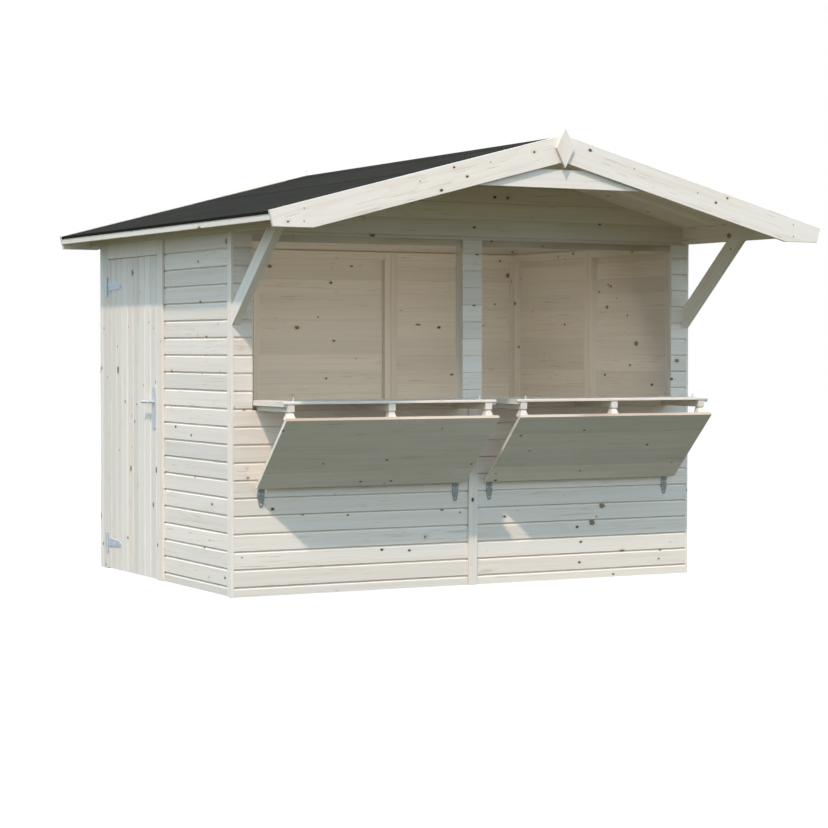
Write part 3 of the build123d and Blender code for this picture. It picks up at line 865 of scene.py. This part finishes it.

# %% [markdown]
# ## Flaps
#
# Each flap is a glued panel as well, leaning out to the counter's feet. It is measured along its own slope
# and thickness, made flat, turned to the lean that its solid has, and sawn level at the toe, where a lath
# behind it closes the gap to the wall. The lath is shorter than the panel, so its corners are those not at
# the ends. The upper edge is much browner than the faces, as painted shade, and the outer face, which looks
# down and out, is a little browner than the inner one, also as painted shade.

# %% Make the flaps
lean = math.radians(45)
flap_up = Vector((0, -math.sin(lean), math.cos(lean)))
flap_out = Vector((0, -math.cos(lean), -math.sin(lean)))
flap_frame = Matrix((Vector((1, 0, 0)), flap_up, flap_out)).transposed().to_4x4()
panel_joint, edge_band = (0.0005, 0.0005), 0.0006
outer_face_shade, top_edge_shade, lath_stick = 0.2, 0.74, 0.37


def corners(points):
    """Lowest and highest corner of the box round some points."""
    return [[pick(point[axis] for point in points) for axis in range(3)] for pick in (min, max)]


for side in ("left", "right"):
    points = [flap_frame.inverted() @ vert.co for vert in frame["nodes"][f"{side}_flap"].data.vertices]
    ends = (min(point.x for point in points), max(point.x for point in points))
    at_end = [min(abs(point.x - end) for end in ends) < touch for point in points]
    low, high = corners([point for point, hit in zip(points, at_end) if hit])
    lath = block("toe_lath", *corners([point for point, hit in zip(points, at_end) if not hit]))
    ease(lath, lambda middle, way: abs(way.x) > aligned, thin_arris)
    lath.data.transform(flap_frame)
    mark(lath, lath_stick)
    toe_cut = [(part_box(f"{side}_flap")[0], Vector((0, 0, -1)))]
    flap = boards(
        f"{side}_flap_planks", low, high, (0, 0, 1), 1,
        pitch=(high[1] - low[1]) / panel_boards, first=low[1], grooves=panel_joint,
        lie=flap_frame, cuts=toe_cut,
    )
    # Painted shade: the outer face, which looks down and out, is browned a little.
    tint(flap, outer_face_shade, lambda middle, normal: normal.dot(flap_out) > aligned)
    # Painted shade: the upper edge, which faces the sun, is browned much darker than the faces.
    top = max(vert.co.dot(flap_up) for vert in flap.data.vertices) - edge_band
    tint(flap, top_edge_shade, lambda middle, normal: middle.dot(flap_up) > top)
    settle(gather(f"{side}_flap_planks", [flap, lath]), spruce_x, "spruce", f"{side}_flap", f"{side}_flap")

# %% [markdown]
# ## Door
#
# The door is upright boards with a shallow V between them, held by three ledges behind. It hangs on the left
# wall, so its boards step along Y and their good face looks to the left.

# %% Make the door
door_pitch, door_joint, ledge_arris = 0.092, (0.008, 0.008), 0.003
leaf = boards(
    "door_boards", leaf_low, leaf_high, (-1, 0, 0), 1, pitch=door_pitch, first=leaf_low.y, grooves=door_joint,
)
settle(leaf, spruce_z, "spruce", "door", "door_leaf")
ledges = planed("door_ledges", ledge_arris)
number_sticks(ledges)
settle(ledges, spruce_y, "spruce", "door", "door_ledges")

# %% [markdown]
# ## Fittings
#
# The hinges, pins and handle keep their solids, which have the right shape, and only take the zinc finish,
# with a darker copy as painted shade on the flap hinges' wall leaves below the knuckle, in the flaps' shade.
# What they lack is screws. One screw head is turned from a disc with a dished top, then copied to each place.

# %% Zinc on the fittings
joints = {joint["name"]: joint for joint in frame["record"]["behaviour"]["joints"]}
hinge_height = joints["left_flap_hinge"]["pos_m"][2]
under_knuckle, off_wall = 0.0066, 0.01
fittings = (
    "wall_hinge_leaves", "left_flap_hinges", "right_flap_hinges",
    "door_straps", "door_handle", "counter_pins",
)
for node in fittings:
    fitting = frame["nodes"][node]
    fitting.data.materials.clear()
    fitting.data.materials.append(zinc)
    if node == "wall_hinge_leaves":
        fitting.data.materials.append(shaded_zinc)
        # The wall leaves' faces below the knuckle, in the flaps' shade, take the darker zinc as painted
        # shade.
        for face in fitting.data.polygons:
            below = face.center.z < hinge_height - under_knuckle
            face.material_index = int(below and face.center.y < front + off_wall)
print("zinc on", len(fittings), "fittings, flap hinge line at", round(hinge_height, 4))

# %% Screw head maker
head_sides, rim_share, crown, dish = 14, 0.3, 0.35, 0.7


def heads(name, size, places, facing):
    """Heads of one radius and height at places, all looking one way."""
    radius, high = size
    bpy.ops.object.select_all(action="DESELECT")
    bpy.ops.mesh.primitive_cylinder_add(vertices=head_sides, radius=radius, depth=high)
    head = bpy.context.active_object
    bpy.ops.object.mode_set(mode="EDIT")
    bpy.ops.mesh.select_mode(type="FACE")
    bpy.ops.mesh.select_all(action="DESELECT")
    shape = bmesh.from_edit_mesh(head.data)
    for face in shape.faces:
        face.select_set(face.normal.z > aligned)
    bmesh.update_edit_mesh(head.data)
    bpy.ops.mesh.inset(thickness=radius * rim_share)
    bpy.ops.transform.translate(value=(0, 0, high * crown))
    bpy.ops.mesh.inset(thickness=radius * rim_share)
    bpy.ops.transform.translate(value=(0, 0, -high * dish))
    bpy.ops.object.mode_set(mode="OBJECT")
    head.data.transform(Vector(facing).to_track_quat("Z", "Y").to_matrix().to_4x4())
    copies = []
    for place in places:
        copy = twin(head)
        copy.data.transform(Matrix.Translation(place))
        copies.append(copy)
    scrap(head)
    return gather(name, copies)


print("heads have", head_sides, "sides")

# %% Drive the flap hinges' screws
hinge_inset, plate_thick = 0.045, 0.003
leaf_screw, leaf_holes = (0.0042, 0.0014), ((-0.011, 0.030), (0.011, 0.030), (0.0, 0.088))
flap_low, flap_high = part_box("left_flap")
far_hinge, near_hinge = flap_low.x + hinge_inset, flap_high.x - hinge_inset
places = []
for middle in (far_hinge, near_hinge, -near_hinge, -far_hinge):
    for across, down in leaf_holes:
        places.append((middle + across, front - plate_thick, hinge_height - down))
screws = heads("flap_hinge_screws", leaf_screw, places, (0, -1, 0))
settle(screws, zinc, "galvanised_steel", "hut")

# %% Drive the door's screws
half_strap, pin_off, jamb_plate = 0.029, 0.0025, 0.026
strap_screw, strap_holes = (0.0055, 0.002), (0.045, 0.115, 0.185)
jamb_screw, jamb_holes = (0.0045, 0.0016), (-0.042, 0.0, 0.042)
straps_low, straps_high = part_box("door_straps")
strap_middles = (straps_low.z + half_strap, straps_high.z - half_strap)
hinge_line = leaf_high.y + pin_off
door_face = leaf_low.x - plate_thick
places = [(door_face, hinge_line - along, z) for z in strap_middles for along in strap_holes]
screws = heads("strap_screws", strap_screw, places, (-1, 0, 0))
settle(screws, zinc, "galvanised_steel", "door")
places = [(door_face, hinge_line + jamb_plate, z + up) for z in strap_middles for up in jamb_holes]
screws = heads("jamb_screws", jamb_screw, places, (-1, 0, 0))
settle(screws, zinc, "galvanised_steel", "hut")

# %% [markdown]
# ## Nails in the barge boards
#
# The barge boards are nailed through their faces, twice near the eave and once at each place above it. The
# heads sit nearly flush and show as small dark dots. A painted dot would have no edge to catch the light, so
# each is a small disc, placed by its distance from the ridge and its depth below the board's upper edge.

# %% Nail the barge boards
nail, nail_spots = (0.0035, 0.0008), ((1.53, 0.035), (1.53, 0.10), (0.87, 0.05), (0.45, 0.045))
barge_low, barge_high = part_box("barge_boards_left")
places = []
for sign in (-1, 1):
    for x, down in nail_spots:
        places.append((sign * x, barge_low.y, barge_high.z - x * math.tan(roof_pitch) - down))
nails = heads("barge_nails", nail, places, (0, -1, 0))
settle(nails, iron, "galvanised_steel", "hut")

# %% Write the sizes and finish
low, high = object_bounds()
print("dressed box", [round(v, 3) for v in (*low, *high)])
